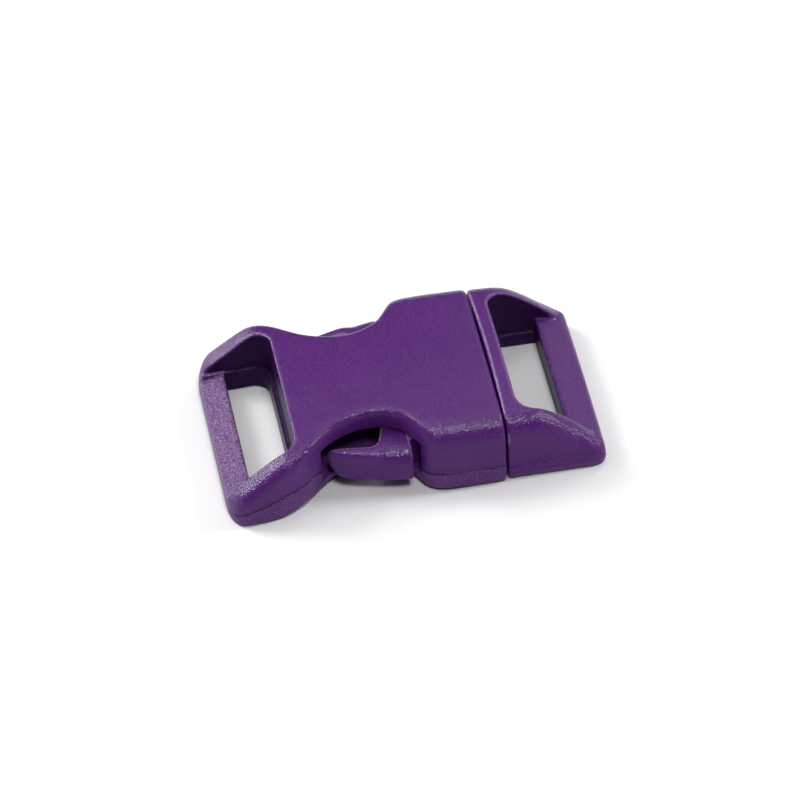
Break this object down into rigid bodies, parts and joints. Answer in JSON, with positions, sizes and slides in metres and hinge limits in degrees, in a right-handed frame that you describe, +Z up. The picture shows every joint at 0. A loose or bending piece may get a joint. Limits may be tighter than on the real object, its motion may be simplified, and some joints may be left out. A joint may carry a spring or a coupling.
{
  "type": "side release buckle",
  "caption": "Contoured moulded plastic side release buckle for a narrow webbing strap, fastened, with a strap slot at each end and finger scallops at both sides.",
  "frame": {"origin": "middle of the buckle's footprint, on the surface that it rests on", "axes": "+X along the strap from the socket end to the plug end, +Y across the strap, +Z up out of the domed top face"},
  "size_m": [0.0428, 0.0248, 0.0095],
  "materials": {
    "purple_plastic": "fine spark-eroded mould texture, satin"
  },
  "bodies": {
    "root": {"socket": "purple_plastic", "plug": "purple_plastic"}
  },
  "joints": []
}
